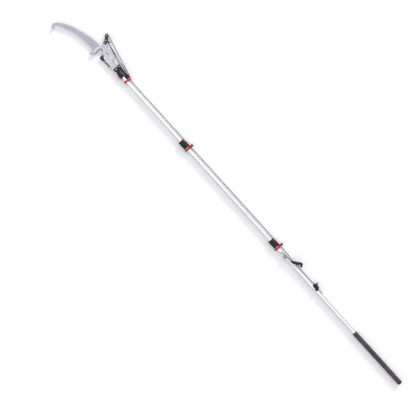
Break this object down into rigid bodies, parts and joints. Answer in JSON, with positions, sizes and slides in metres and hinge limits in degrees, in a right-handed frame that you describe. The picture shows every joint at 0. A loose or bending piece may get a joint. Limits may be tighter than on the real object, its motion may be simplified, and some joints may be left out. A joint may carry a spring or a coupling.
{
  "type": "telescoping pole saw",
  "caption": "Telescoping pole with a curved pull saw, a rope-pulled sliding pruning blade under a hook, clamp locks, rope guides and a long grip.",
  "frame": {"origin": "centre of the butt end face, on the pole axis", "axes": "+X runs up the pole to the saw, +Y is the side the saw curves to, +Z is normal to the head plates; the pole lies flat"},
  "size_m": [3.5478, 0.2675, 0.0507],
  "materials": {
    "alloy_tube": "satin",
    "steel_plate": "satin",
    "saw_steel": "satin",
    "fastener_steel": "polished",
    "bolt_brass": "satin",
    "black_plastic": "matte",
    "red_plastic": "gloss",
    "grip_rubber": "matte",
    "rope": "woven",
    "black_steel": "satin",
    "spring_steel": "satin",
    "pale_plastic": "matte",
    "bush_nylon": "matte"
  },
  "bodies": {
    "lower_pole": {"butt_cap": "black_plastic", "grip": "grip_rubber", "lower_tube": "alloy_tube", "lock_2_housing": "black_plastic", "lock_2_shoe": "bush_nylon", "lock_2_pin": "fastener_steel", "guide_2_ring": "black_plastic", "guide_2_band": "red_plastic", "cleat": "black_plastic", "cleat_screws": "black_steel", "handle_clip": "pale_plastic", "pull_handle": "black_plastic", "handle_cord": "rope", "rope_lower": "rope"},
    "guide_2_screw": {"guide_2_knob": "black_plastic"},
    "lock_2_flip_lever": {"lock_2_lever": "red_plastic"},
    "middle_pole": {"middle_tube": "alloy_tube", "middle_foot": "bush_nylon", "lock_1_housing": "black_plastic", "lock_1_shoe": "bush_nylon", "lock_1_pin": "fastener_steel", "guide_1_ring": "black_plastic", "guide_1_band": "red_plastic", "rope_middle": "rope"},
    "guide_1_screw": {"guide_1_knob": "black_plastic"},
    "lock_1_flip_lever": {"lock_1_lever": "red_plastic"},
    "upper_pole": {"upper_tube": "alloy_tube", "upper_foot": "bush_nylon", "head_sleeve": "black_plastic", "latch_pin": "fastener_steel", "head_block": "black_plastic", "head_bolt": "bolt_brass", "pulley_bracket": "black_plastic", "bracket_pins": "fastener_steel", "collar_ring": "black_plastic", "collar_band": "red_plastic", "collar_bolt": "fastener_steel", "head_plate_front": "steel_plate", "head_plate_back": "steel_plate", "guide_screws": "fastener_steel", "pivot_bolt": "fastener_steel", "hook_screws": "fastener_steel", "spacers": "fastener_steel", "anvil_strip": "black_steel", "anvil_cap": "pale_plastic", "saw_blade": "saw_steel", "spring_anchor": "steel_plate", "return_spring": "spring_steel", "rope_upper": "rope", "rope_falls": "rope"},
    "latch": {"latch_lever": "red_plastic"},
    "bail": {"latch_bail": "fastener_steel"},
    "sheave": {"bracket_sheave": "bush_nylon"},
    "cutter": {"cutter_lever": "steel_plate", "arm_cheeks": "black_steel", "arm_packing": "fastener_steel", "arm_screws": "fastener_steel", "arm_axle": "fastener_steel"},
    "pulley": {"arm_pulley": "bush_nylon"},
    "cutting_blade": {"cutter_blade": "black_steel"}
  },
  "joints": [
    {"name": "middle_slide", "type": "slide", "parent": "lower_pole", "child": "middle_pole", "axis": [1, 0, 0], "range_m": [-0.84, 0], "deforming": ["rope_middle"]},
    {"name": "upper_slide", "type": "slide", "parent": "middle_pole", "child": "upper_pole", "axis": [1, 0, 0], "range_m": [-0.55, 0], "deforming": ["rope_upper"]},
    {"name": "lock_2_flip", "type": "hinge", "parent": "lower_pole", "child": "lock_2_flip_lever", "pos_m": [1.357, -0.0215, 0], "axis": [0, 0, 1], "range_deg": [0, 110]},
    {"name": "lock_1_flip", "type": "hinge", "parent": "middle_pole", "child": "lock_1_flip_lever", "pos_m": [2.305, -0.0215, 0], "axis": [0, 0, 1], "range_deg": [0, 110]},
    {"name": "guide_2_screw_turn", "type": "hinge", "parent": "lower_pole", "child": "guide_2_screw", "pos_m": [1.2975, -0.03, 0], "axis": [0, -1, 0], "continuous": true},
    {"name": "guide_1_screw_turn", "type": "hinge", "parent": "middle_pole", "child": "guide_1_screw", "pos_m": [2.2455, -0.03, 0], "axis": [0, -1, 0], "continuous": true},
    {"name": "latch_flip", "type": "hinge", "parent": "upper_pole", "child": "latch", "pos_m": [2.9645, 0.018, 0], "axis": [0, 0, -1], "range_deg": [0, 110]},
    {"name": "bail_swing", "type": "hinge", "parent": "latch", "child": "bail", "pos_m": [2.9575, 0.0202, 0], "axis": [0, 0, -1], "range_deg": [-110, 0]},
    {"name": "cutter_swing", "type": "hinge", "parent": "upper_pole", "child": "cutter", "pos_m": [3.09173, -0.03429, 0], "axis": [0, 0, -1], "range_deg": [0, 90], "stiffness_Nm_per_rad": 0.9, "springref_deg": -51.57, "deforming": ["rope_falls"]},
    {"name": "blade_slide", "type": "slide", "parent": "upper_pole", "child": "cutting_blade", "axis": [0.9995, 0.0332, 0], "range_m": [0, 0.0424], "deforming": ["return_spring"]},
    {"name": "arm_pulley_spin", "type": "hinge", "parent": "cutter", "child": "pulley", "pos_m": [3.23075, -0.11386, 0], "axis": [0, 0, 1], "continuous": true},
    {"name": "sheave_spin", "type": "hinge", "parent": "upper_pole", "child": "sheave", "pos_m": [2.952, -0.034, 0], "axis": [0, 0, 1], "continuous": true}
  ],
  "couplings": [
    {"joint": "blade_slide", "follows": "cutter_swing", "m_per_rad": 0.026993},
    {"joint": "bail_swing", "follows": "latch_flip", "ratio": -1}
  ]
}
